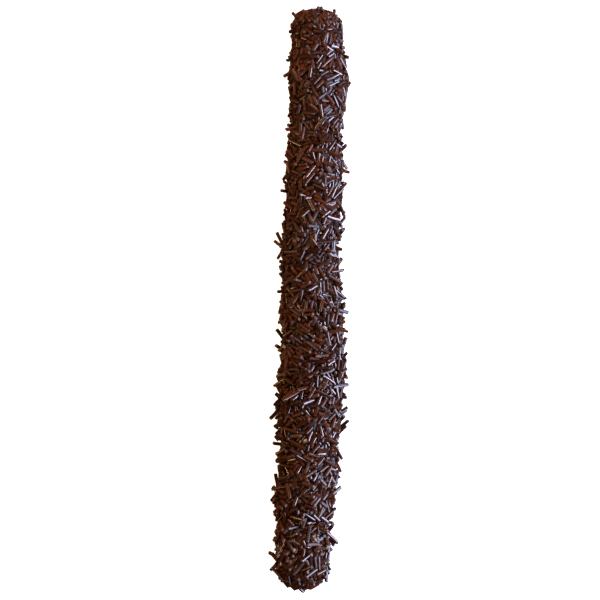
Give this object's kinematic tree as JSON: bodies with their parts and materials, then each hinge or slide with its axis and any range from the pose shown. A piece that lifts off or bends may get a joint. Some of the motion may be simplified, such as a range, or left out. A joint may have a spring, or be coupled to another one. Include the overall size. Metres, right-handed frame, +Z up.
{
  "type": "chocolate covered pretzel rod",
  "caption": "Long round pretzel rod in dark chocolate, rolled all over in short chocolate sprinkles that lie every way and stand out of the coat, lying on its side.",
  "frame": {"origin": "middle of the flat strip on the underside that the rod lies on", "axes": "+Y along the rod, towards the end that is uppermost in the picture; +Z up, out of the side that the picture shows; +X towards the picture's right"},
  "size_m": [0.0281, 0.2075, 0.0247],
  "materials": {
    "chocolate": "smooth dark chocolate with a soft gloss, showing between the sprinkles",
    "sprinkles": "glazed dark brown chocolate sprinkles with paler cut ends",
    "crumbs": "dull pale tan crumbs of pretzel between the sprinkles"
  },
  "bodies": {
    "root": {"pretzel_rod": "chocolate"}
  },
  "joints": []
}
